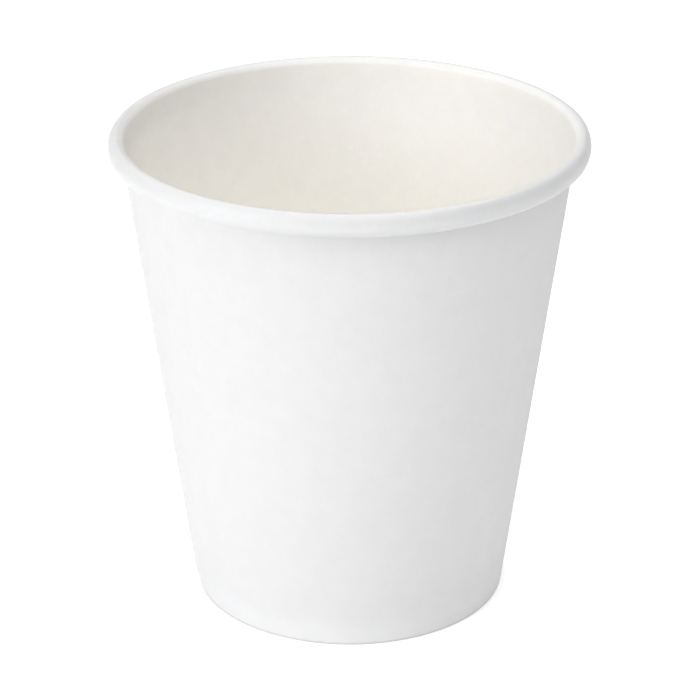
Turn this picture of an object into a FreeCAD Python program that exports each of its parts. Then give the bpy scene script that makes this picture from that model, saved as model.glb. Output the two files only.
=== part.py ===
import FreeCAD, Part
import math
import os

import Sketcher

# A paper coffee cup, in millimetres. It stands on the XY plane with its axis on Z and its front towards -Y.
# It is two pieces of coated paperboard. The sidewall is one blank wrapped into a cone and lapped along a
# side seam. Its top edge is rolled outward into a rim, and its foot is folded inward and up into a hem. The
# base is a disc whose edge is turned down into a skirt, which is sealed between the sidewall and that hem.

SIZES = (
    ("rim_diameter", 90.0, "across the outside of the rolled rim"),
    ("cup_height", 93.0, "from the table to the top of the rim"),
    ("foot_diameter", 60.0, "across the wall's print face, carried down to the table"),
    ("board", 0.36, "thickness of the sidewall's board"),
    ("roll_radius", 1.5, "radius of the rim's roll over its top"),
    ("roll_side", 1.3, "straight stretch down the outside of the roll"),
    ("tuck_gap", 0.06, "gap between the roll's tucked edge and the wall"),
    ("scroll_radius", 1.05, "radius of the roll's edge where it turns up inside"),
    ("scroll_turn", 75.0, "how far that edge turns, in degrees"),
    ("fold_radius", 0.06, "radius inside each corner of the foot's fold"),
    ("hem_height", 6.8, "from the table to the top of the turned-in hem"),
    ("base_board", 0.30, "thickness of the base's board"),
    ("base_height", 8.0, "from the table to the top of the base disc"),
    ("base_bend", 0.25, "radius inside the bend from disc to skirt"),
    ("skirt_foot", 0.5, "from the table to the lower edge of the skirt"),
    ("seal_gap", 0.02, "film between two sealed faces"),
    ("seam_angle", 176.0, "where the blank's outer edge lies, in degrees from +X"),
    ("lap_angle", 11.0, "how far the outer edge laps over the inner one, in degrees"),
    ("channel_angle", 0.8, "gap beside the inner edge, under the board that climbs over it, in degrees"),
    ("climb_angle", 0.9, "how far the board is doubled where it climbs, in degrees"),
)

doc = FreeCAD.newDocument("paper_cup")
sheet = doc.addObject("Spreadsheet::Sheet", "sizes")
for row, (alias, value, note) in enumerate(SIZES, start=1):
    sheet.set(f"A{row}", alias)
    sheet.set(f"B{row}", str(value))
    sheet.set(f"C{row}", note)
    sheet.setAlias(f"B{row}", alias)
doc.recompute()


def size(alias):
    """A driving dimension, read from the sheet."""
    return float(sheet.get(alias))


BOARD = size("board")
RIM = size("rim_diameter") / 2
FOOT = size("foot_diameter") / 2
ROLL = size("roll_radius")
SKIRT_ROOM = size("base_board") + 2 * size("seal_gap")


def taper_angle():
    """The wall's lean from the vertical: from the foot it runs up to touch the inner side of the roll."""
    across = RIM - ROLL - FOOT
    up = size("cup_height") - ROLL
    return math.acos((ROLL - BOARD) / math.hypot(across, up)) - math.atan2(up, across)


TAPER = taper_angle()
SLOPE = math.degrees(TAPER)


def beside_wall(depth, height):
    """The point at that height whose distance inward from the wall's outer face is depth."""
    return FreeCAD.Vector(FOOT + (height * math.sin(TAPER) - depth) / math.cos(TAPER), height, 0)


def outward(length):
    """A step of that length square to the wall, away from the axis."""
    return FreeCAD.Vector(length * math.cos(TAPER), -length * math.sin(TAPER), 0)


def line(start, end):
    return Part.LineSegment(start, end)


def arc(centre, radius, first, last):
    """An arc that runs counterclockwise from the angle first to the angle last, in degrees."""
    circle = Part.Circle(centre, FreeCAD.Vector(0, 0, 1), radius)
    return Part.ArcOfCircle(circle, math.radians(first), math.radians(last))


# The numbers by which a sketch names a curve's points and its own two axes.
START, END, CENTRE = range(1, 4)
X_AXIS, Y_AXIS = -1, -2


class Outline:
    """A sketch in a plane through the cup's axis, turned about it where asked, and sized from the sheet."""

    def __init__(self, body, name, turn=None):
        self.sketch = body.newObject("Sketcher::SketchObject", name)
        plane = next(f for f in body.Origin.OriginFeatures if f.Role == "XZ_Plane")
        self.sketch.AttachmentSupport = [(plane, "")]
        self.sketch.MapMode = "FlatFace"
        if turn:
            up = FreeCAD.Vector(0, 1, 0)
            self.sketch.AttachmentOffset = FreeCAD.Placement(FreeCAD.Vector(), FreeCAD.Rotation(up, 1))
            self.sketch.setExpression("AttachmentOffset.Rotation.Angle", turn)

    def add(self, curve, construction=False):
        return self.sketch.addGeometry(curve, construction)

    def tie(self, kind, *places):
        """A constraint with no size of its own."""
        self.sketch.addConstraint(Sketcher.Constraint(kind, *places))

    def measure(self, kind, *places, by):
        """A constraint whose size comes from the sheet. The last place is its present value."""
        index = self.sketch.addConstraint(Sketcher.Constraint(kind, *places))
        self.sketch.setExpression(f"Constraints[{index}]", by)

    def chain(self, curves):
        """Joins the end of each curve to the start of the next, all the way round."""
        for curve, following in zip(curves, curves[1:] + curves[:1]):
            self.tie("Coincident", curve, END, following, START)

    def wall_face(self):
        """A construction line on the wall's print face, from the table up to where it meets the roll."""
        centre = FreeCAD.Vector(RIM - ROLL, size("cup_height") - ROLL, 0)
        foot = beside_wall(0.0, 0.0)
        face = self.add(line(foot, centre - outward(ROLL - BOARD)), True)
        roll = self.add(arc(centre, ROLL - BOARD, 0.0, 180.0 - SLOPE), True)
        self.tie("Tangent", face, END, roll, END)
        self.tie("Horizontal", roll, START, roll, CENTRE)
        self.tie("PointOnObject", face, START, X_AXIS)
        self.measure("DistanceX", X_AXIS, START, face, START, FOOT, by="sizes.foot_diameter / 2")
        self.measure("Radius", roll, ROLL - BOARD, by="sizes.roll_radius - sizes.board")
        self.measure(
            "DistanceX", X_AXIS, START, roll, CENTRE, centre.x,
            by="sizes.rim_diameter / 2 - sizes.roll_radius",
        )
        self.measure(
            "DistanceY", X_AXIS, START, roll, CENTRE, centre.y,
            by="sizes.cup_height - sizes.roll_radius",
        )
        return face, roll


def new_body(label):
    body = doc.addObject("PartDesign::Body", label)
    body.Label = label
    return body


def turned(body, kind, outline, name, angle="360"):
    """Adds or cuts the outline turned about the cup's axis, all the way round or as far as angle says."""
    feature = body.newObject(kind, name)
    feature.Profile = outline.sketch
    feature.ReferenceAxis = (outline.sketch, ["V_Axis"])
    feature.setExpression("Angle", angle)
    doc.recompute()


def blank_section(body):
    """The blank's section: down the hem, round the foot's fold, up the wall and round the roll."""
    outline = Outline(body, "blank_section")
    fold = size("fold_radius")
    level = BOARD + fold
    outer_corner = beside_wall(BOARD + fold, level)
    inner_corner = beside_wall(BOARD + SKIRT_ROOM - fold, level)
    hem_top = beside_wall(BOARD + SKIRT_ROOM, size("hem_height"))
    roll_centre = FreeCAD.Vector(RIM - ROLL, size("cup_height") - ROLL, 0)
    side_foot = roll_centre.y - size("roll_side")
    tuck = beside_wall(-size("tuck_gap"), side_foot)
    tuck_radius = (RIM - tuck.x) / 2
    tuck_centre = FreeCAD.Vector(RIM - tuck_radius, side_foot, 0)
    scroll_radius = size("scroll_radius")
    scroll_centre = FreeCAD.Vector(tuck.x + scroll_radius, side_foot, 0)
    scroll_end = 180.0 - size("scroll_turn")

    def face(inset):
        """The curves of the coated face, or of the print face where inset is the board's thickness."""
        corner = fold + inset
        under = FreeCAD.Vector(0, -corner, 0)
        side_top = roll_centre + FreeCAD.Vector(ROLL - inset, 0, 0)
        side_end = tuck_centre + FreeCAD.Vector(tuck_radius - inset, 0, 0)
        return [
            outline.add(line(hem_top - outward(inset), inner_corner - outward(corner))),
            outline.add(arc(inner_corner, corner, 180.0 - SLOPE, 270.0)),
            outline.add(line(inner_corner + under, outer_corner + under)),
            outline.add(arc(outer_corner, corner, 270.0, 360.0 - SLOPE)),
            outline.add(line(outer_corner + outward(corner), roll_centre - outward(ROLL - inset))),
            outline.add(arc(roll_centre, ROLL - inset, 0.0, 180.0 - SLOPE)),
            outline.add(line(side_top, side_end)),
            outline.add(arc(tuck_centre, tuck_radius - inset, 180.0, 360.0)),
            outline.add(arc(scroll_centre, scroll_radius - inset, scroll_end, 180.0)),
        ]

    coated = face(0.0)
    printed = face(BOARD)
    for hem, fold_in, flat, fold_out, wall, roll_top, side, roll_under, scroll in (coated, printed):
        outline.tie("Tangent", hem, END, fold_in, START)
        outline.tie("Tangent", fold_in, END, flat, START)
        outline.tie("Tangent", flat, END, fold_out, START)
        outline.tie("Tangent", fold_out, END, wall, START)
        outline.tie("Tangent", wall, END, roll_top, END)
        outline.tie("Tangent", roll_top, START, side, START)
        outline.tie("Tangent", side, END, roll_under, END)
        outline.tie("Tangent", roll_under, START, scroll, END)
        outline.tie("Vertical", side)
        outline.tie("Horizontal", flat)
    for number in (1, 3, 5, 7, 8):
        outline.tie("Coincident", coated[number], CENTRE, printed[number], CENTRE)
    for number in (0, 4):
        outline.tie("Parallel", coated[number], printed[number])

    hem, fold_in, flat, fold_out, wall, roll_top, side, roll_under, scroll = coated
    print_flat, print_wall, print_roll_top = printed[2], printed[4], printed[5]
    wall_face, wall_roll = outline.wall_face()
    outline.tie("Coincident", print_roll_top, CENTRE, wall_roll, CENTRE)
    outline.tie("Equal", print_roll_top, wall_roll)
    outline.tie("PointOnObject", print_wall, START, wall_face)
    outline.tie("PointOnObject", print_flat, START, X_AXIS)
    outline.tie("Parallel", hem, wall)
    outline.tie("Horizontal", roll_under, START, roll_under, CENTRE)
    outline.measure("DistanceY", X_AXIS, START, flat, START, BOARD, by="sizes.board")
    outline.measure("Radius", fold_in, fold, by="sizes.fold_radius")
    outline.measure("Radius", fold_out, fold, by="sizes.fold_radius")
    outline.measure("Distance", hem, START, wall, SKIRT_ROOM, by="sizes.base_board + 2 * sizes.seal_gap")
    outline.measure("DistanceY", X_AXIS, START, hem, START, hem_top.y, by="sizes.hem_height")
    outline.measure("DistanceY", side, END, side, START, size("roll_side"), by="sizes.roll_side")
    outline.measure("Distance", roll_under, START, print_wall, size("tuck_gap"), by="sizes.tuck_gap")
    outline.measure("Radius", scroll, scroll_radius, by="sizes.scroll_radius")
    outline.measure("Angle", scroll, math.radians(size("scroll_turn")), by="sizes.scroll_turn * 1 deg")

    # Square cut edges close the section at the hem's top and inside the roll.
    hem_edge = outline.add(line(hem_top, hem_top - outward(BOARD)))
    outline.tie("Coincident", hem_edge, START, hem, START)
    outline.tie("Coincident", hem_edge, END, printed[0], START)
    outline.tie("Perpendicular", hem_edge, hem)
    turn = math.radians(scroll_end)
    spoke = FreeCAD.Vector(math.cos(turn), math.sin(turn), 0)
    edge_ends = [scroll_centre + spoke * radius for radius in (scroll_radius, scroll_radius - BOARD)]
    scroll_edge = outline.add(line(*edge_ends))
    outline.tie("Coincident", scroll_edge, START, scroll, START)
    outline.tie("Coincident", scroll_edge, END, printed[8], START)
    outline.tie("PointOnObject", scroll, CENTRE, scroll_edge)
    return outline


def strip_section(body, name, turn, side, low, high):
    """
    A strip one board thick along the wall, level at both ends. It lies outside the print face where side is
    1, and is the wall's own board where side is -1. low and high each pair a height with its expression.
    """
    outline = Outline(body, name, turn)
    (foot, foot_rule), (top, top_rule) = low, high
    inset = 0.0 if side > 0 else BOARD
    near = [beside_wall(inset, height) for height in (foot, top)]
    far = [beside_wall(inset - BOARD, height) for height in (foot, top)]
    corners = [near[0], far[0], far[1], near[1]]
    edges = [outline.add(line(*pair)) for pair in zip(corners, corners[1:] + corners[:1])]
    bottom_edge, far_edge, top_edge, near_edge = edges
    outline.chain(edges)
    wall_face, _ = outline.wall_face()
    on_face = near_edge if side > 0 else far_edge
    outline.tie("Horizontal", bottom_edge)
    outline.tie("Horizontal", top_edge)
    outline.tie("Parallel", near_edge, far_edge)
    outline.tie("Parallel", near_edge, wall_face)
    outline.tie("PointOnObject", on_face, START, wall_face)
    outline.measure("Distance", near_edge, START, far_edge, BOARD, by="sizes.board")
    outline.measure("DistanceY", X_AXIS, START, bottom_edge, START, foot, by=foot_rule)
    outline.measure("DistanceY", X_AXIS, START, top_edge, START, top, by=top_rule)
    return outline


def base_section(body):
    """The base's section: the disc from the axis outward, its bend, and the skirt down beside the wall."""
    outline = Outline(body, "base_section")
    thick = size("base_board")
    bend = size("base_bend")
    top = size("base_height")
    skirt_face = BOARD + size("seal_gap")
    # The bend's centre lies at one depth from the skirt's outer face and at one depth below the disc's top.
    bend_centre = beside_wall(skirt_face + thick + bend, top - thick - bend)
    up = FreeCAD.Vector(0, 1, 0)
    foot = [beside_wall(depth, size("skirt_foot")) for depth in (skirt_face, skirt_face + thick)]
    disc_top = outline.add(line(FreeCAD.Vector(0, top, 0), bend_centre + up * (bend + thick)))
    bend_out = outline.add(arc(bend_centre, bend + thick, -SLOPE, 90.0))
    skirt_out = outline.add(line(bend_centre + outward(bend + thick), foot[0]))
    skirt_edge = outline.add(line(*foot))
    skirt_in = outline.add(line(foot[1], bend_centre + outward(bend)))
    bend_in = outline.add(arc(bend_centre, bend, -SLOPE, 90.0))
    disc_under = outline.add(line(bend_centre + up * bend, FreeCAD.Vector(0, top - thick, 0)))
    axis = outline.add(line(FreeCAD.Vector(0, top - thick, 0), FreeCAD.Vector(0, top, 0)))
    wall_face, _ = outline.wall_face()
    outline.tie("Tangent", disc_top, END, bend_out, END)
    outline.tie("Tangent", bend_out, START, skirt_out, START)
    outline.tie("Coincident", skirt_out, END, skirt_edge, START)
    outline.tie("Coincident", skirt_edge, END, skirt_in, START)
    outline.tie("Tangent", skirt_in, END, bend_in, START)
    outline.tie("Tangent", bend_in, END, disc_under, START)
    outline.tie("Coincident", disc_under, END, axis, START)
    outline.tie("Coincident", axis, END, disc_top, START)
    outline.tie("Coincident", bend_in, CENTRE, bend_out, CENTRE)
    outline.tie("PointOnObject", axis, START, Y_AXIS)
    outline.tie("Vertical", axis)
    outline.tie("Horizontal", disc_top)
    outline.tie("Horizontal", skirt_edge)
    outline.tie("Horizontal", disc_under)
    outline.tie("Parallel", skirt_out, wall_face)
    outline.tie("Parallel", skirt_in, skirt_out)
    outline.measure("Distance", skirt_out, END, wall_face, skirt_face, by="sizes.board + sizes.seal_gap")
    outline.measure("DistanceY", X_AXIS, START, disc_top, START, top, by="sizes.base_height")
    outline.measure("DistanceY", axis, START, axis, END, thick, by="sizes.base_board")
    outline.measure("Radius", bend_in, bend, by="sizes.base_bend")
    outline.measure("DistanceY", X_AXIS, START, skirt_edge, START, foot[0].y, by="sizes.skirt_foot")
    return outline


# The sidewall. The full turn is the blank's inner layer. The lap adds the outer layer over the seam, from the
# outer edge to where the board has climbed over the inner edge, and the channel beside the inner edge is open
# towards the drink.
sidewall = new_body("sidewall")
turned(sidewall, "PartDesign::Revolution", blank_section(sidewall), "wrapped_wall")

lap_foot = BOARD + size("fold_radius")
lap_top = size("cup_height") - ROLL - size("roll_side")
lap_section = strip_section(
    sidewall,
    "lap_section",
    "sizes.seam_angle * 1 deg",
    1,
    (lap_foot, "sizes.board + sizes.fold_radius"),
    (lap_top, "sizes.cup_height - sizes.roll_radius - sizes.roll_side"),
)
lap_turn = "(sizes.lap_angle + sizes.channel_angle + sizes.climb_angle) * 1 deg"
turned(sidewall, "PartDesign::Revolution", lap_section, "lap", lap_turn)

channel_section = strip_section(
    sidewall,
    "channel_section",
    "(sizes.seam_angle + sizes.lap_angle) * 1 deg",
    -1,
    (size("base_height") - size("base_board"), "sizes.base_height - sizes.base_board"),
    (lap_top - ROLL, "sizes.cup_height - 2 * sizes.roll_radius - sizes.roll_side"),
)
turned(sidewall, "PartDesign::Groove", channel_section, "channel", "sizes.channel_angle * 1 deg")

base = new_body("base")
turned(base, "PartDesign::Revolution", base_section(base), "disc_and_skirt")

for thing in doc.Objects:
    if "Invalid" in thing.State or "Error" in thing.State:
        raise RuntimeError(f"{thing.Label} failed: {thing.State}")
os.makedirs("parts", exist_ok=True)
for body in (sidewall, base):
    if body.Shape.isNull() or not body.Shape.isValid() or len(body.Shape.Solids) != 1:
        raise RuntimeError(f"{body.Label} is not one valid solid")
    body.Shape.exportStep(f"parts/{body.Label}.step")
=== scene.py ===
import math

import bmesh
import bpy
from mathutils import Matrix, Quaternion, Vector


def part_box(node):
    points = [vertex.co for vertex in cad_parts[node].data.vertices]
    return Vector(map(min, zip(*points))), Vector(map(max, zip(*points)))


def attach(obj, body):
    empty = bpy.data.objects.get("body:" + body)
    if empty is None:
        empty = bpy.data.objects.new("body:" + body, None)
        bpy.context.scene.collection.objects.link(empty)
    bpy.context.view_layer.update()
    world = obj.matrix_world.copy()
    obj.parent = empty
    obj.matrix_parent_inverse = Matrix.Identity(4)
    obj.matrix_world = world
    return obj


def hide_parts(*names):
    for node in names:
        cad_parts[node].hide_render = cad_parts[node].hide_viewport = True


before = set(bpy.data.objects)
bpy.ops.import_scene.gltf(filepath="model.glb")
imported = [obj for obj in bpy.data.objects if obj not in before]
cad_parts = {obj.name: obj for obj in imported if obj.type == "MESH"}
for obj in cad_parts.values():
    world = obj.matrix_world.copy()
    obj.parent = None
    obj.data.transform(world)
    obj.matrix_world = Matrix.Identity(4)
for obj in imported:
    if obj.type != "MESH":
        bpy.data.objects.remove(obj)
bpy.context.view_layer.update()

bl_info = {
    "name": "Paper Coffee Cup",
    "version": (1, 0, 0),
    "blender": (4, 5, 0),
    "location": "3D View > Sidebar > Paper Cup",
    "description": "Wraps, laps, rolls and hems the two boards of a white paper coffee cup",
    "category": "Object",
}

CUP_LOW, CUP_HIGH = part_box("sidewall")
BASE_LOW, BASE_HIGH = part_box("base")

# What each face of a board shows: the value of its "finish" attribute.
PRINT_FACE, COATED_FACE, CUT_EDGE = 0, 1, 2

# Points of a wrapped board closer than this are one point, in metres.
MERGE_REACH = 1e-6

# How much of the hem's height a knurl takes up.
KNURL_SHARE = 0.75


class CupSizes(bpy.types.PropertyGroup):
    """The sizes of the two boards. Those that the frame shows start from it."""

    rim_diameter: bpy.props.FloatProperty(
        name="Rim", description="Across the outside of the rolled rim",
        default=CUP_HIGH.x - CUP_LOW.x, unit="LENGTH", precision=5)
    height: bpy.props.FloatProperty(
        name="Height", description="From the table to the top of the rim",
        default=CUP_HIGH.z, unit="LENGTH", precision=5)
    foot_diameter: bpy.props.FloatProperty(
        name="Foot", description="Across the wall's print face, carried down to the table",
        default=0.060, unit="LENGTH", precision=5)
    board: bpy.props.FloatProperty(
        name="Board", description="Thickness of the sidewall's board",
        default=0.00036, unit="LENGTH", precision=6)
    roll_radius: bpy.props.FloatProperty(
        name="Roll radius", description="Radius of the rim's roll over its top",
        default=0.0015, unit="LENGTH", precision=6)
    roll_side: bpy.props.FloatProperty(
        name="Roll side", description="Straight stretch down the outside of the roll",
        default=0.0013, unit="LENGTH", precision=6)
    tuck_gap: bpy.props.FloatProperty(
        name="Tuck gap", description="Gap between the roll's tucked edge and the wall",
        default=0.00006, unit="LENGTH", precision=6)
    scroll_radius: bpy.props.FloatProperty(
        name="Scroll radius", description="Radius of the roll's edge where it turns up inside",
        default=0.00105, unit="LENGTH", precision=6)
    scroll_turn: bpy.props.FloatProperty(
        name="Scroll turn", description="How far the roll's edge turns up inside",
        default=math.radians(75), subtype="ANGLE")
    fold_radius: bpy.props.FloatProperty(
        name="Fold radius", description="Radius inside each corner of the foot's fold",
        default=0.00006, unit="LENGTH", precision=6)
    hem_height: bpy.props.FloatProperty(
        name="Hem", description="From the table to the top of the turned-in hem",
        default=0.0068, unit="LENGTH", precision=5)
    base_board: bpy.props.FloatProperty(
        name="Base board", description="Thickness of the base's board",
        default=0.0003, unit="LENGTH", precision=6)
    base_height: bpy.props.FloatProperty(
        name="Base height", description="From the table to the top of the base disc",
        default=BASE_HIGH.z, unit="LENGTH", precision=5)
    base_bend: bpy.props.FloatProperty(
        name="Base bend", description="Radius inside the bend from disc to skirt",
        default=0.00025, unit="LENGTH", precision=6)
    seal_gap: bpy.props.FloatProperty(
        name="Seal", description="Film between two sealed faces",
        default=0.00002, unit="LENGTH", precision=6)
    skirt_foot: bpy.props.FloatProperty(
        name="Skirt foot", description="From the table to the lower edge of the skirt",
        default=BASE_LOW.z, unit="LENGTH", precision=6)
    seam_turn: bpy.props.FloatProperty(
        name="Seam", description="Where the blank's outer edge lies, counterclockwise from +X",
        default=math.radians(176), subtype="ANGLE")
    lap_turn: bpy.props.FloatProperty(
        name="Lap", description="How far the outer edge laps over the inner one",
        default=math.radians(11), subtype="ANGLE")
    climb_turn: bpy.props.FloatProperty(
        name="Climb", description="How far the board takes to climb over the inner edge",
        default=math.radians(1.7), subtype="ANGLE")
    knurl_count: bpy.props.IntProperty(
        name="Knurls", description="Pressed ribs round the inside of the hem", default=120)
    knurl_depth: bpy.props.FloatProperty(
        name="Knurl depth", description="How far each pressed rib stands off the hem",
        default=0.00012, unit="LENGTH", precision=6)


class CupColours(bpy.types.PropertyGroup):
    """The colours of the paper's faces and of the studio."""

    print_paper: bpy.props.FloatVectorProperty(
        name="Print face", description="The bare white paper outside",
        subtype="COLOR", size=3, default=(0.722, 0.724, 0.731))
    coated_rim: bpy.props.FloatVectorProperty(
        name="Coated rim", description="The coated paper over the rim",
        subtype="COLOR", size=3, default=(0.748, 0.747, 0.748))
    # The two colours below are the coated paper painted lighter than over the rim, as painted light inside
    # the cup; the deeper one adds a painted warm tint of bounced light.
    coated_wall_painted_light: bpy.props.FloatVectorProperty(
        name="Coated wall", description="The coated paper just under the rim",
        subtype="COLOR", size=3, default=(0.955, 0.941, 0.915))
    coated_depth_painted_light: bpy.props.FloatVectorProperty(
        name="Coated depth", description="The creamier coated paper deep inside the cup",
        subtype="COLOR", size=3, default=(0.955, 0.932, 0.886))
    board_core: bpy.props.FloatVectorProperty(
        name="Board core", description="The pulp that shows along a cut edge",
        subtype="COLOR", size=3, default=(0.74, 0.71, 0.66))
    floor: bpy.props.FloatVectorProperty(
        name="Floor", description="The studio's floor",
        subtype="COLOR", size=3, default=(0.965, 0.965, 0.97))


class CupCamera(bpy.types.PropertyGroup):
    """Where the photo was taken from."""

    aim_height: bpy.props.FloatProperty(
        name="Aim height", description="Height of the point on the cup's axis that the camera looks at",
        default=0.04798, unit="LENGTH", precision=5)
    distance: bpy.props.FloatProperty(
        name="Distance", description="From the camera to that point", default=0.54, unit="LENGTH")
    elevation: bpy.props.FloatProperty(
        name="Elevation", description="Angle of the camera above that point",
        default=math.radians(24.12), subtype="ANGLE")
    tilt: bpy.props.FloatProperty(
        name="Tilt", description="How far the picture is turned counterclockwise",
        default=math.radians(0.1), subtype="ANGLE")
    lens: bpy.props.FloatProperty(
        name="Lens", description="Focal length on a sensor 36 mm wide", default=144.1, unit="CAMERA")


# Sections through the boards


class Section:
    """A board's coated face in section: points of radius and height, from one cut edge to the other."""

    def __init__(self, start):
        self.points = [start]
        self.stretches = []

    def line_to(self, end, steps, name):
        start = self.points[-1]
        for step in range(1, steps + 1):
            self.points.append(start.lerp(end, step / steps))
        self.stretches.append((name, len(self.points) - 1))

    def arc(self, centre, radius, first, last, steps, name, stretch=1.0):
        """Turns about centre from first to last, in degrees, on an arc that is stretch times as tall."""
        for step in range(1, steps + 1):
            turn = math.radians(first + (last - first) * step / steps)
            self.points.append(centre + radius * Vector((math.cos(turn), stretch * math.sin(turn))))
        self.stretches.append((name, len(self.points) - 1))

    def lengths(self):
        """How far along the section each point lies."""
        total, lengths = 0.0, [0.0]
        for start, end in zip(self.points, self.points[1:]):
            total += (end - start).length
            lengths.append(total)
        return lengths

    def end_of(self, name):
        """How far along the section the named stretch ends."""
        return self.lengths()[dict(self.stretches)[name]]


class Wall:
    """The leaning wall that both sections follow, worked out from the sizes."""

    def __init__(self, sizes):
        self.foot = sizes.foot_diameter / 2
        self.rim = sizes.rim_diameter / 2
        self.skirt_room = sizes.base_board + 2 * sizes.seal_gap
        across = self.rim - sizes.roll_radius - self.foot
        up = sizes.height - sizes.roll_radius
        reach = math.hypot(across, up)
        self.taper = math.acos((sizes.roll_radius - sizes.board) / reach) - math.atan2(up, across)

    def inside(self, depth, height):
        """The point at that height whose distance inward from the print face is depth."""
        lean = height * math.sin(self.taper) - depth
        return Vector((self.foot + lean / math.cos(self.taper), height))

    def outward(self, length):
        """A step of that length straight out of the print face."""
        return length * Vector((math.cos(self.taper), -math.sin(self.taper)))


def sidewall_section(sizes):
    """The hem, the fold at the foot, the wall and the roll."""
    wall = Wall(sizes)
    lean = math.degrees(wall.taper)
    level = sizes.board + sizes.fold_radius
    outer = wall.inside(level, level)
    inner = wall.inside(sizes.board + wall.skirt_room - sizes.fold_radius, level)
    down = Vector((0, -sizes.fold_radius))
    roll = Vector((wall.rim - sizes.roll_radius, sizes.height - sizes.roll_radius))
    side_foot = roll.y - sizes.roll_side
    side_middle = roll.y - sizes.roll_side / 2
    tuck = wall.inside(-sizes.tuck_gap, side_foot)
    tuck_radius = (wall.rim - tuck.x) / 2
    scroll = Vector((tuck.x + sizes.scroll_radius, side_foot))

    section = Section(wall.inside(sizes.board + wall.skirt_room, sizes.hem_height))
    section.line_to(inner - wall.outward(sizes.fold_radius), steps=8, name="hem")
    section.arc(inner, sizes.fold_radius, 180 - lean, 270, steps=6, name="inner fold")
    section.line_to(outer + down, steps=1, name="flat")
    section.arc(outer, sizes.fold_radius, 270, 360 - lean, steps=6, name="outer fold")
    section.line_to(roll - wall.outward(sizes.roll_radius), steps=30, name="wall")
    section.arc(roll, sizes.roll_radius, 180 - lean, 90, steps=10, name="roll top")
    # Two stretched quarters make the roll's outside bulge softly where the solid's side is straight.
    section.arc(
        Vector((roll.x, side_middle)), sizes.roll_radius, 90, 0, steps=12, name="roll side",
        stretch=1 + sizes.roll_side / 2 / sizes.roll_radius)
    section.arc(
        Vector((wall.rim - tuck_radius, side_middle)), tuck_radius, 0, -90, steps=12, name="roll foot",
        stretch=1 + sizes.roll_side / 2 / tuck_radius)
    section.arc(
        Vector((wall.rim - tuck_radius, side_foot)), tuck_radius, -90, -180, steps=9, name="roll under")
    section.arc(
        scroll, sizes.scroll_radius, 180, 180 - math.degrees(sizes.scroll_turn), steps=7, name="scroll")
    return section


def base_section(sizes):
    """The disc from its centre outward, the bend and the skirt."""
    wall = Wall(sizes)
    lean = math.degrees(wall.taper)
    skirt_depth = sizes.board + sizes.seal_gap
    radius = sizes.base_bend + sizes.base_board
    centre = wall.inside(skirt_depth + radius, sizes.base_height - radius)
    top = sizes.base_height

    section = Section(Vector((0, top)))
    section.line_to(Vector((centre.x, top)), steps=24, name="disc")
    section.arc(centre, radius, 90, -lean, steps=8, name="bend")
    section.line_to(wall.inside(skirt_depth, sizes.skirt_foot), steps=6, name="skirt")
    return section


def section_curve(name, section):
    """A poly curve through the section's points, for the tree to sample."""
    curve = bpy.data.curves.new(name, "CURVE")
    curve.dimensions = "3D"
    spline = curve.splines.new("POLY")
    spline.points.add(len(section.points) - 1)
    for point, place in zip(spline.points, section.points):
        point.co = (place.x, 0.0, place.y, 1.0)
    path = bpy.data.objects.new(name, curve)
    bpy.context.scene.collection.objects.link(path)
    return path


# Flat blanks


def smooth(value):
    """0 below 0, 1 above 1, and an even slope between them."""
    value = min(max(value, 0.0), 1.0)
    return value * value * (3 - 2 * value)


def flat_blank(name, turns, lengths, depths, closed=False):
    """
    A board laid flat: x is the turn about the cup's axis, y the length along the section and z the depth
    from the coated face. depths gives the depths of the coated and the print face for a turn and a length.
    A closed board comes round to where it starts, and starts on the axis, so only its far edge is cut.
    """
    board = bmesh.new()
    finish = board.faces.layers.int.new("finish")

    def corners(turn, length):
        return [board.verts.new((turn, length, depth)) for depth in depths(turn, length)]

    def face(kind, *around):
        board.faces.new(around)[finish] = kind

    rows = [[corners(turn, length) for length in lengths] for turn in turns]
    for near, far in zip(rows, rows[1:]):
        for (a, a_print), (b, b_print), (c, c_print), (d, d_print) in zip(near, far, far[1:], near[1:]):
            face(COATED_FACE, a, d, c, b)
            face(PRINT_FACE, a_print, b_print, c_print, d_print)
        face(CUT_EDGE, near[-1][0], near[-1][1], far[-1][1], far[-1][0])
        if not closed:
            face(CUT_EDGE, near[0][0], far[0][0], far[0][1], near[0][1])
    if not closed:
        for (a, a_print), (b, b_print) in zip(rows[0], rows[0][1:]):
            face(CUT_EDGE, a, a_print, b_print, b)
        for (a, a_print), (b, b_print) in zip(rows[-1], rows[-1][1:]):
            face(CUT_EDGE, a, b, b_print, a_print)
    mesh = bpy.data.meshes.new(name)
    board.to_mesh(mesh)
    board.free()
    blank = bpy.data.objects.new(name, mesh)
    bpy.context.scene.collection.objects.link(blank)
    return blank


# The trees that wrap a blank and press its hem


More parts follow.
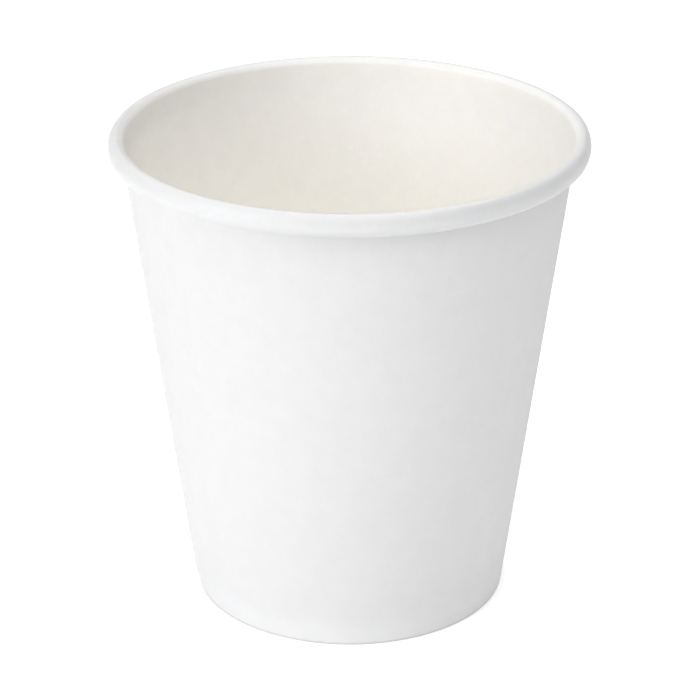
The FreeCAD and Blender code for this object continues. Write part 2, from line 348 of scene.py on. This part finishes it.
class Tree:
    """A geometry node tree in the making."""

    def __init__(self, name):
        self.group = bpy.data.node_groups.new(name, "GeometryNodeTree")
        self.group.interface.new_socket("Geometry", in_out="INPUT", socket_type="NodeSocketGeometry")
        self.group.interface.new_socket("Geometry", in_out="OUTPUT", socket_type="NodeSocketGeometry")
        self.inputs = {}
        self.start = self.group.nodes.new("NodeGroupInput")
        self.end = self.group.nodes.new("NodeGroupOutput")

    def input(self, name, kind, note):
        socket = self.group.interface.new_socket(name, in_out="INPUT", socket_type=f"NodeSocket{kind}")
        socket.description = note
        self.inputs[name] = socket.identifier
        return self.start.outputs[name]

    def node(self, kind, inputs=(), **settings):
        """A node whose inputs pair its sockets, by name or number, with a value or another's output."""
        node = self.group.nodes.new(kind)
        for key, value in settings.items():
            setattr(node, key, value)
        for key, value in inputs:
            socket = node.inputs[key]
            if isinstance(value, bpy.types.NodeSocket):
                self.group.links.new(value, socket)
            else:
                socket.default_value = value
        return node

    def math(self, operation, first, second=0.0):
        return self.node("ShaderNodeMath", [(0, first), (1, second)], operation=operation).outputs[0]

    def finish(self, geometry, finishes):
        """Realizes what is there, and gives each face the material that its finish numbers."""
        node = self.node("GeometryNodeRealizeInstances", [("Geometry", geometry)])
        geometry = node.outputs[0]
        kind = self.node("GeometryNodeInputNamedAttribute", [("Name", "finish")], data_type="INT")
        for number, material in enumerate(finishes):
            # Sockets 2 and 3 of the comparison are its two whole numbers.
            pick = self.node(
                "FunctionNodeCompare", [(2, kind.outputs[0]), (3, number)],
                data_type="INT", operation="EQUAL")
            node = self.node(
                "GeometryNodeSetMaterial",
                [("Geometry", geometry), ("Selection", pick.outputs[0]), ("Material", material)],
            )
            geometry = node.outputs[0]
        self.group.links.new(geometry, self.end.inputs[0])

    def apply(self, thing, name, **values):
        """Runs the tree on thing, with a value for each input, and returns the plain mesh it makes."""
        modifier = thing.modifiers.new("wrap", "NODES")
        modifier.node_group = self.group
        for key, value in values.items():
            modifier[self.inputs[key.replace("_", " ").capitalize()]] = value
        depsgraph = bpy.context.evaluated_depsgraph_get()
        mesh = bpy.data.meshes.new_from_object(thing.evaluated_get(depsgraph), depsgraph=depsgraph)
        mesh.name = name
        thing.modifiers.remove(modifier)
        return mesh


def wrapped(tree):
    """Adds the nodes that wrap a tree's flat blank about the cup's axis, and returns their geometry."""
    profile = tree.input("Section", "Object", "Curve of the coated face in section")
    curve = tree.node("GeometryNodeObjectInfo", [("Object", profile)]).outputs["Geometry"]
    flat = tree.node("ShaderNodeSeparateXYZ", [(0, tree.node("GeometryNodeInputPosition").outputs[0])])
    turn, length, depth = flat.outputs
    sample = tree.node("GeometryNodeSampleCurve", [("Curves", curve), ("Length", length)], mode="LENGTH")
    place = tree.node("ShaderNodeSeparateXYZ", [(0, sample.outputs["Position"])])
    along = tree.node("ShaderNodeSeparateXYZ", [(0, sample.outputs["Tangent"])])
    # The print face lies to the right of the way along the section.
    radius = tree.math("ADD", place.outputs[0], tree.math("MULTIPLY", depth, along.outputs[2]))
    height = tree.math("SUBTRACT", place.outputs[2], tree.math("MULTIPLY", depth, along.outputs[0]))
    spot = tree.node("ShaderNodeCombineXYZ", [
        (0, tree.math("MULTIPLY", radius, tree.math("COSINE", turn))),
        (1, tree.math("MULTIPLY", radius, tree.math("SINE", turn))),
        (2, height),
    ])
    moved = tree.node("GeometryNodeSetPosition", [
        ("Geometry", tree.start.outputs["Geometry"]), ("Position", spot.outputs[0]),
    ])
    merged = tree.node("GeometryNodeMergeByDistance", [
        ("Geometry", moved.outputs[0]), ("Distance", MERGE_REACH),
    ])
    return merged.outputs[0]


def knurls(tree):
    """Adds the pressed ribs round the inside of the hem, and returns their geometry."""
    count = tree.input("Knurl count", "Int", "Ribs round the hem")
    depth = tree.input("Knurl depth", "Float", "How far a rib stands off the hem")
    radius = tree.input("Knurl radius", "Float", "From the axis to the hem's face at the ribs' middle")
    height = tree.input("Knurl height", "Float", "From the table to the ribs' middle")
    length = tree.input("Knurl length", "Float", "Length of a rib")
    width = tree.input("Knurl width", "Float", "Width of a rib")
    lean = tree.input("Knurl lean", "Float", "Lean of the hem from the vertical")
    ring = tree.node("GeometryNodeMeshCircle", [("Vertices", count), ("Radius", radius)])
    lifted = tree.node("GeometryNodeSetPosition", [
        ("Geometry", ring.outputs[0]),
        ("Offset", tree.node("ShaderNodeCombineXYZ", [(2, height)]).outputs[0]),
    ])
    # A ball one metre across, which the scale below makes a rib.
    rib = tree.node("GeometryNodeMeshUVSphere", [("Segments", 8), ("Rings", 5), ("Radius", 0.5)])
    turn = tree.node("ShaderNodeCombineXYZ", [
        (1, lean),
        (2, tree.math("MULTIPLY", tree.node("GeometryNodeInputIndex").outputs[0],
                      tree.math("DIVIDE", math.tau, count))),
    ])
    ribs = tree.node("GeometryNodeInstanceOnPoints", [
        ("Points", lifted.outputs[0]),
        ("Instance", rib.outputs["Mesh"]),
        ("Rotation", turn.outputs[0]),
        ("Scale", tree.node("ShaderNodeCombineXYZ", [
            (0, tree.math("MULTIPLY", depth, 2.0)), (1, width), (2, length),
        ]).outputs[0]),
    ])
    return ribs.outputs[0]


# Papers

# Shares by which a colour is darker, or lighter over 1: clouds of pulp; painted light towards the foot,
# over the hem; a painted shadow along the folded foot; and painted shade round the roll, on the wall under
# it and on its underside.
CLOUD_SHARES = (0.985, 1.01)
CORE_SHARES = (0.85, 1.08)
FOOT_PAINTED_LIGHT_SHARE = 1.05
FOOT_SHADOW_SHARE = 0.72
UNDER_ROLL_WALL_SHADE_SHARE = 0.97
ROLL_UNDERSIDE_SHADE_SHARE = 0.87

# How much of the fibre's own colour shows, and the colours of fibre on the print and the coated face.
FIBRE_SHARE = 0.05
GREY_FIBRE = (0.5, 0.5, 0.5)
WARM_FIBRE = (0.5, 0.49, 0.46)

# The share of the light that soaks into a single board, and how softly that ends at the lap.
SOAKING_SHARE = 0.35
LAP_EDGE = math.radians(0.3)


class Paper:
    """A procedural material for one face of a board, in the object's own coordinates."""

    def __init__(self, name):
        self.material = bpy.data.materials.get(name) or bpy.data.materials.new(name)
        self.material.use_nodes = True
        self.nodes = self.material.node_tree.nodes
        self.links = self.material.node_tree.links
        self.nodes.clear()
        self.shader = self.nodes.new("ShaderNodeBsdfPrincipled")
        output = self.nodes.new("ShaderNodeOutputMaterial")
        self.links.new(self.shader.outputs[0], output.inputs["Surface"])
        self.place = self.nodes.new("ShaderNodeTexCoord").outputs["Object"]

    def noise(self, size, detail, stretch=(1, 1, 1)):
        """Noise about 0.5 on average, in patches about size metres wide and stretched along the axes."""
        mapping = self.nodes.new("ShaderNodeMapping")
        mapping.inputs["Scale"].default_value = [1 / (size * along) for along in stretch]
        noise = self.nodes.new("ShaderNodeTexNoise")
        noise.inputs["Scale"].default_value = 1.0
        noise.inputs["Detail"].default_value = detail
        self.links.new(self.place, mapping.inputs["Vector"])
        self.links.new(mapping.outputs[0], noise.inputs["Vector"])
        return noise.outputs["Fac"]

    def spread(self, factor, low=0.0, high=1.0, least=0.3, most=0.7):
        """low to high as the factor goes from its usual least to its usual most."""
        spread = self.nodes.new("ShaderNodeMapRange")
        spread.inputs["From Min"].default_value = least
        spread.inputs["From Max"].default_value = most
        spread.inputs["To Min"].default_value = low
        spread.inputs["To Max"].default_value = high
        self.links.new(factor, spread.inputs["Value"])
        return spread.outputs["Result"]

    def height(self, first, last):
        """0 to 1 as the height above the table goes from first to last, in metres."""
        split = self.nodes.new("ShaderNodeSeparateXYZ")
        self.links.new(self.place, split.inputs[0])
        return self.spread(split.outputs["Z"], least=first, most=last)

    def vector_math(self, operation, vector, constant=(0, 0, 0)):
        """A node that combines an output with a constant vector."""
        node = self.nodes.new("ShaderNodeVectorMath")
        node.operation = operation
        node.inputs[1].default_value = constant
        self.links.new(vector, node.inputs[0])
        return node

    def level(self):
        """The way out from the cup's axis, without its height."""
        return self.vector_math("MULTIPLY", self.place, (1, 1, 0)).outputs["Vector"]

    def radius(self, first, last):
        """0 to 1 as the distance from the cup's axis goes from first to last, in metres."""
        length = self.vector_math("LENGTH", self.level()).outputs["Value"]
        return self.spread(length, least=first, most=last)

    def beside(self, turn, reach, edge):
        """1 within reach of a turn about the cup's axis and 0 past it, with a soft edge, all in radians."""
        unit = self.vector_math("NORMALIZE", self.level()).outputs["Vector"]
        middle = (math.cos(turn), math.sin(turn), 0)
        facing = self.vector_math("DOT_PRODUCT", unit, middle).outputs["Value"]
        return self.spread(facing, least=math.cos(reach + edge), most=math.cos(reach - edge))

    def mix(self, factor, low, high):
        """A mix of two colours, each a colour or another's output."""
        mix = self.nodes.new("ShaderNodeMix")
        mix.data_type = "RGBA"
        self.links.new(factor, mix.inputs["Factor"])
        sockets = [socket for socket in mix.inputs if socket.type == "RGBA"]
        for socket, colour in zip(sockets, (low, high)):
            if isinstance(colour, bpy.types.NodeSocket):
                self.links.new(colour, socket)
            else:
                socket.default_value = (*colour, 1.0)
        return next(socket for socket in mix.outputs if socket.type == "RGBA")

    def product(self, first, second):
        """Two outputs multiplied."""
        product = self.nodes.new("ShaderNodeMath")
        product.operation = "MULTIPLY"
        self.links.new(first, product.inputs[0])
        self.links.new(second, product.inputs[1])
        return product.outputs["Value"]

    def soak(self, sizes, reach, backed):
        """
        Lets light soak into the pulp, as far as reach for each colour, and through the board. None does
        where the mask backed is 1, nor in the lap, because a second layer stops it there.
        """
        half_lap = sizes.lap_turn / 2
        above_base = self.height(sizes.base_height, 1.1 * sizes.base_height)
        lap = self.product(self.beside(sizes.seam_turn + half_lap, half_lap, LAP_EDGE), above_base)
        single = self.spread(lap, SOAKING_SHARE, 0.0, least=0.0, most=1.0)
        clear = self.spread(backed, 1.0, 0.0, least=0.0, most=1.0)
        self.links.new(self.product(single, clear), self.shader.inputs["Subsurface Weight"])
        self.shader.inputs["Subsurface Radius"].default_value = reach
        self.shader.inputs["Subsurface Scale"].default_value = 1.0

    def bump(self, *heights):
        """Stacks bumps: pairs of a height from 0 to 1 and its depth in metres."""
        normal = None
        for factor, depth in heights:
            bump = self.nodes.new("ShaderNodeBump")
            bump.inputs["Strength"].default_value = 1.0
            bump.inputs["Distance"].default_value = depth
            self.links.new(factor, bump.inputs["Height"])
            if normal:
                self.links.new(normal, bump.inputs["Normal"])
            normal = bump.outputs["Normal"]
        self.links.new(normal, self.shader.inputs["Normal"])


def shaded(colour, share):
    """The colour made darker, or lighter where share is over 1."""
    return tuple(channel * share for channel in colour)


def roll_foot(sizes):
    """Height of the roll's lower edge."""
    return sizes.height - 2 * sizes.roll_radius - sizes.roll_side


def print_paper(sizes, colours):
    """Bare matte paper with pulp clouds and fibres, painted a little lighter towards the foot, with a
    painted shadow along the foot's fold and painted shade under the roll.
    """
    paper = Paper("print_paper")
    cloud = paper.noise(0.0035, detail=3.0)
    fibre = paper.noise(0.00035, detail=2.0, stretch=(1, 1, 2.5))
    # Painted light: the colour grows a little lighter down over the hem, towards the foot. The same mask
    # marks where the hem backs the wall, so no light soaks through there.
    hem = paper.height(1.3 * sizes.hem_height, 0.5 * sizes.hem_height)
    # Painted shadow: a dark band along the foot's fold, where the cup stands on the table.
    fold = paper.height(2 * sizes.board, 0.0)
    # Painted shade: the wall a little darker just under the roll, where the roll meets it.
    crease = paper.height(roll_foot(sizes) - sizes.roll_radius, roll_foot(sizes))
    bare = tuple(colours.print_paper)

    def tinted(share):
        """The print face with a share of its colour, and a little lighter towards the foot, as painted
        light.
        """
        return paper.mix(hem, shaded(bare, share), shaded(bare, FOOT_PAINTED_LIGHT_SHARE * share))

    pulp = paper.mix(paper.spread(cloud), tinted(CLOUD_SHARES[0]), tinted(CLOUD_SHARES[1]))
    pulp = paper.mix(fold, pulp, shaded(bare, FOOT_SHADOW_SHARE))
    pulp = paper.mix(crease, pulp, shaded(bare, UNDER_ROLL_WALL_SHADE_SHARE))
    pulp = paper.mix(paper.spread(fibre, 0.0, FIBRE_SHARE), pulp, GREY_FIBRE)
    paper.links.new(pulp, paper.shader.inputs["Base Color"])
    paper.links.new(paper.spread(fibre, 0.62, 0.78), paper.shader.inputs["Roughness"])
    paper.shader.inputs["Specular IOR Level"].default_value = 0.35
    paper.soak(sizes, reach=(0.0008, 0.00076, 0.00071), backed=hem)
    paper.bump((cloud, 0.00004), (fibre, 0.000014))
    return paper.material


def coated_paper(sizes, colours):
    """Paper under a thin clear coating, with a soft sheen; inside the cup painted lighter than over the
    roll, as painted light, and creamier deeper down, as a painted warm tint of bounced light.
    """
    paper = Paper("coated_paper")
    cloud = paper.noise(0.004, detail=2.0)
    fibre = paper.noise(0.0005, detail=2.0, stretch=(1, 1, 2.0))
    rim = sizes.rim_diameter / 2
    # Past the roll, the coated face takes the lighter colours, as painted light inside the cup.
    past_rim = paper.radius(rim - 1.25 * sizes.roll_radius, rim - 1.9 * sizes.roll_radius)
    # Painted shade: the roll's underside darker towards its lower edge.
    roll_underside_shade = paper.height(sizes.height - 1.7 * sizes.roll_radius, roll_foot(sizes))
    # Painted warm tint of bounced light: the inside creamier deeper down.
    depth = paper.height(sizes.height - sizes.roll_radius, 0.7 * sizes.height)
    within_roll = paper.height(roll_foot(sizes) - sizes.roll_radius, roll_foot(sizes))

    def tinted(share):
        """The colours over the roll, with painted shade on its underside, and the painted-light colours
        down the wall, all darker or lighter by a share.
        """
        over = shaded(colours.coated_rim, share)
        under = shaded(colours.coated_rim, ROLL_UNDERSIDE_SHADE_SHARE * share)
        shallow = shaded(colours.coated_wall_painted_light, share)
        deep = shaded(colours.coated_depth_painted_light, share)
        return paper.mix(past_rim, paper.mix(roll_underside_shade, over, under), paper.mix(depth, shallow, deep))

    pulp = paper.mix(paper.spread(cloud), tinted(CLOUD_SHARES[0]), tinted(CLOUD_SHARES[1]))
    pulp = paper.mix(paper.spread(fibre, 0.0, FIBRE_SHARE), pulp, WARM_FIBRE)
    paper.links.new(pulp, paper.shader.inputs["Base Color"])
    paper.links.new(paper.spread(fibre, 0.38, 0.5), paper.shader.inputs["Roughness"])
    paper.shader.inputs["Specular IOR Level"].default_value = 0.45
    paper.soak(sizes, reach=(0.001, 0.00085, 0.0006), backed=paper.product(past_rim, within_roll))
    paper.bump((cloud, 0.00003), (fibre, 0.000008))
    return paper.material


def board_core(colours):
    """The pulp along a cut edge: rough, fibrous and a little darker."""
    paper = Paper("board_core")
    fibre = paper.noise(0.00012, detail=3.0)
    core = tuple(colours.board_core)
    pulp = paper.mix(paper.spread(fibre), shaded(core, CORE_SHARES[0]), shaded(core, CORE_SHARES[1]))
    paper.links.new(pulp, paper.shader.inputs["Base Color"])
    paper.shader.inputs["Roughness"].default_value = 0.9
    paper.bump((fibre, 0.00003))
    return paper.material


def finishes(scene):
    """The materials in the order of the finish numbers."""
    sizes, colours = scene.cup_sizes, scene.cup_colours
    return [print_paper(sizes, colours), coated_paper(sizes, colours), board_core(colours)]


def settle(thing, node):
    """Shades a finished piece, and has it ride on the cup and stand for its node."""
    mesh = thing.data
    kinds = mesh.attributes["finish"].data
    for polygon, kind in zip(mesh.polygons, kinds):
        polygon.use_smooth = kind.value != CUT_EDGE
    mesh.update()
    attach(thing, "root")
    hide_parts(node)


def remove(*things):
    for thing in things:
        bpy.data.objects.remove(thing)


# The pieces


class PAPERCUP_OT_sidewall(bpy.types.Operator):
    """Wrap the sidewall's blank, lap its seam, roll its rim and fold its foot into the hem"""

    bl_idname = "papercup.sidewall"
    bl_label = "Sidewall"

    def execute(self, context):
        sizes = context.scene.cup_sizes
        section = sidewall_section(sizes)
        wall = Wall(sizes)
        fold_end = section.end_of("outer fold")
        wall_end = section.end_of("wall")
        full_turn = sizes.seam_turn + math.tau
        # Pressing sets in over press_run along the section, and squeezes film_loss of the seal out.
        press_run = 0.003
        film_loss = 0.9
        # Where they are pressed, one layer thins over thinning, and the other steps down over crease.
        thinning = math.radians(1.5)
        crease = math.radians(0.04)

        def pressed(length):
            """1 where the fold or the roll has pressed the lap's layers into one thickness, 0 between."""
            return 1 - smooth((length - fold_end) / press_run) * smooth((wall_end - length) / press_run)

        def depths(turn, length):
            """How deep the coated and the print face lie, in the lap, its climb and the single board."""
            squeeze = pressed(length)
            past_lap = turn - sizes.seam_turn - sizes.lap_turn
            raised = 1 - smooth(past_lap / sizes.climb_turn)
            if past_lap > 0:
                raised *= 1 - squeeze
            film = sizes.seal_gap * (1 - film_loss * squeeze)
            coated = raised * (sizes.board * (1 - squeeze / 2) + film)
            printed = sizes.board + raised * (sizes.board + sizes.seal_gap) * (1 - squeeze)
            under_lap = smooth((turn - full_turn) / thinning + 1)
            return coated, printed - under_lap * squeeze * sizes.board / 2

        lap_end = sizes.seam_turn + sizes.lap_turn
        climb_end = lap_end + sizes.climb_turn
        turns = spaced(sizes.seam_turn, lap_end, steps=12)
        turns += spaced(lap_end, lap_end + crease, steps=2)[1:]
        turns += spaced(lap_end + crease, climb_end, steps=8)[1:]
        turns += spaced(climb_end, full_turn - thinning, steps=280)[1:]
        turns += spaced(full_turn - thinning, full_turn, steps=5)[1:]
        turns += spaced(full_turn, full_turn + sizes.lap_turn, steps=12)[1:]
        blank = flat_blank("sidewall_blank", turns, section.lengths(), depths)
        path = section_curve("sidewall_section", section)

        tree = Tree("wrap_and_knurl")
        sheet = wrapped(tree)
        ribs = knurls(tree)
        joined = tree.node("GeometryNodeJoinGeometry")
        tree.group.links.new(ribs, joined.inputs[0])
        tree.group.links.new(sheet, joined.inputs[0])
        tree.finish(joined.outputs[0], finishes(context.scene))
        middle = (sizes.hem_height + sizes.skirt_foot) / 2
        hem_face = wall.inside(2 * sizes.board + wall.skirt_room, middle)
        mesh = tree.apply(
            blank, "Sidewall", section=path, knurl_count=sizes.knurl_count, knurl_depth=sizes.knurl_depth,
            knurl_radius=hem_face.x, knurl_height=hem_face.y,
            knurl_length=KNURL_SHARE * sizes.hem_height,
            knurl_width=math.pi * hem_face.x / sizes.knurl_count, knurl_lean=wall.taper)
        piece = bpy.data.objects.new("Sidewall", mesh)
        context.scene.collection.objects.link(piece)
        settle(piece, "sidewall")
        remove(blank, path)
        return {"FINISHED"}


class PAPERCUP_OT_base(bpy.types.Operator):
    """Turn the base's disc down into its skirt"""

    bl_idname = "papercup.base"
    bl_label = "Base"

    def execute(self, context):
        sizes = context.scene.cup_sizes
        section = base_section(sizes)
        blank = flat_blank(
            "base_blank", spaced(0.0, math.tau, steps=240), section.lengths(),
            lambda turn, length: (0.0, sizes.base_board), closed=True)
        path = section_curve("base_section", section)
        tree = Tree("wrap")
        tree.finish(wrapped(tree), finishes(context.scene))
        piece = bpy.data.objects.new("Base", tree.apply(blank, "Base", section=path))
        context.scene.collection.objects.link(piece)
        settle(piece, "base")
        remove(blank, path)
        return {"FINISHED"}


# The studio, in metres

FLOOR_WIDTH = 8.0
FLOOR_GLOW = 0.25
LIGHT_WIDTH = 1.2
LIGHT_DISTANCE = 1.6
SKY_COLOUR = (0.955, 0.98, 1.0)
SKY_STRENGTH = 0.085
DAYLIGHT = (1.0, 0.998, 0.995)
WARM_LIGHT = (1.0, 0.995, 0.985)
NEAREST_SEEN = 0.01


class PAPERCUP_OT_studio(bpy.types.Operator):
    """Set the floor, the soft lights and the camera of the photo"""

    bl_idname = "papercup.studio"
    bl_label = "Studio"

    def execute(self, context):
        scene = context.scene
        floor_mesh = bpy.data.meshes.new("Floor")
        half = FLOOR_WIDTH / 2
        corners = [(-half, -half, 0), (half, -half, 0), (half, half, 0), (-half, half, 0)]
        floor_mesh.from_pydata(corners, [], [(0, 1, 2, 3)])
        floor = bpy.data.objects.new("Floor", floor_mesh)
        scene.collection.objects.link(floor)
        floor_mesh.materials.append(studio_floor(scene.cup_colours))

        world = bpy.data.worlds.new("studio_light")
        world.use_nodes = True
        backdrop = world.node_tree.nodes["Background"]
        backdrop.inputs["Color"].default_value = (*SKY_COLOUR, 1.0)
        backdrop.inputs["Strength"].default_value = SKY_STRENGTH
        scene.world = world
        scene.view_settings.view_transform = "Standard"

        soft_light("Side", azimuth=-55, elevation=10, power=12.4, colour=DAYLIGHT)
        soft_light("Window", azimuth=-60, elevation=35, power=5.7, colour=DAYLIGHT)
        soft_light("Top", azimuth=20, elevation=60, power=15.1, colour=WARM_LIGHT)
        soft_light("Back", azimuth=180, elevation=60, power=13.7, colour=WARM_LIGHT)
        aim_camera(scene)
        return {"FINISHED"}


def studio_floor(colours):
    """A pale floor that glows a little, so that it stays white up to the cup's foot."""
    material = bpy.data.materials.new("studio_floor")
    material.use_nodes = True
    shader = material.node_tree.nodes["Principled BSDF"]
    shader.inputs["Base Color"].default_value = (*colours.floor, 1.0)
    shader.inputs["Roughness"].default_value = 0.9
    shader.inputs["Specular IOR Level"].default_value = 0.0
    shader.inputs["Emission Color"].default_value = (1.0, 1.0, 1.0, 1.0)
    shader.inputs["Emission Strength"].default_value = FLOOR_GLOW
    return material


def soft_light(name, azimuth, elevation, power, colour):
    """
    A large square light that faces the middle of the cup. azimuth is its angle to the right of the cup's
    front, and elevation its angle above the table, both in degrees.
    """
    light = bpy.data.lights.new(name, "AREA")
    light.shape = "SQUARE"
    light.size = LIGHT_WIDTH
    light.energy = power
    light.color = colour
    around, above = math.radians(azimuth), math.radians(elevation)
    front = Vector((math.sin(around), -math.cos(around), 0))
    towards = math.cos(above) * front + Vector((0, 0, math.sin(above)))
    lamp = bpy.data.objects.new(name, light)
    lamp.location = Vector((0, 0, CUP_HIGH.z / 2)) + LIGHT_DISTANCE * towards
    lamp.rotation_mode = "QUATERNION"
    lamp.rotation_quaternion = towards.to_track_quat("Z", "Y")
    bpy.context.scene.collection.objects.link(lamp)


def aim_camera(scene):
    """The camera of the photo, turned a little about its own line of sight."""
    shot = scene.cup_camera
    camera = bpy.data.objects.new("Camera", bpy.data.cameras.new("Camera"))
    scene.collection.objects.link(camera)
    back = Vector((0, -math.cos(shot.elevation), math.sin(shot.elevation)))
    camera.location = Vector((0, 0, shot.aim_height)) + shot.distance * back
    level = (-back).to_track_quat("-Z", "Y")
    camera.rotation_mode = "QUATERNION"
    camera.rotation_quaternion = level @ Quaternion((0, 0, 1), -shot.tilt)
    camera.data.sensor_width = 36.0
    camera.data.lens = shot.lens
    camera.data.clip_start = NEAREST_SEEN
    scene.camera = camera


def spaced(first, last, steps):
    """Evenly spaced values from first to last, both among them."""
    return [first + (last - first) * step / steps for step in range(steps + 1)]


# The panel and the run

OPERATORS = (PAPERCUP_OT_sidewall, PAPERCUP_OT_base, PAPERCUP_OT_studio)


class PAPERCUP_PT_panel(bpy.types.Panel):
    """The cup's sizes and colours, and a button for each piece"""

    bl_label = "Paper Cup"
    bl_space_type = "VIEW_3D"
    bl_region_type = "UI"
    bl_category = "Paper Cup"

    def draw(self, context):
        for group in (context.scene.cup_sizes, context.scene.cup_colours, context.scene.cup_camera):
            box = self.layout.box()
            for name in group.__annotations__:
                box.prop(group, name)
        for operator in OPERATORS:
            self.layout.operator(operator.bl_idname)


CLASSES = (CupSizes, CupColours, CupCamera, *OPERATORS, PAPERCUP_PT_panel)


def register():
    for kind in CLASSES:
        bpy.utils.register_class(kind)
    bpy.types.Scene.cup_sizes = bpy.props.PointerProperty(type=CupSizes)
    bpy.types.Scene.cup_colours = bpy.props.PointerProperty(type=CupColours)
    bpy.types.Scene.cup_camera = bpy.props.PointerProperty(type=CupCamera)


def unregister():
    del bpy.types.Scene.cup_sizes
    del bpy.types.Scene.cup_colours
    del bpy.types.Scene.cup_camera
    for kind in reversed(CLASSES):
        bpy.utils.unregister_class(kind)


def main():
    register()
    bpy.ops.papercup.sidewall()
    bpy.ops.papercup.base()
    bpy.ops.papercup.studio()


if __name__ == "__main__":
    main()
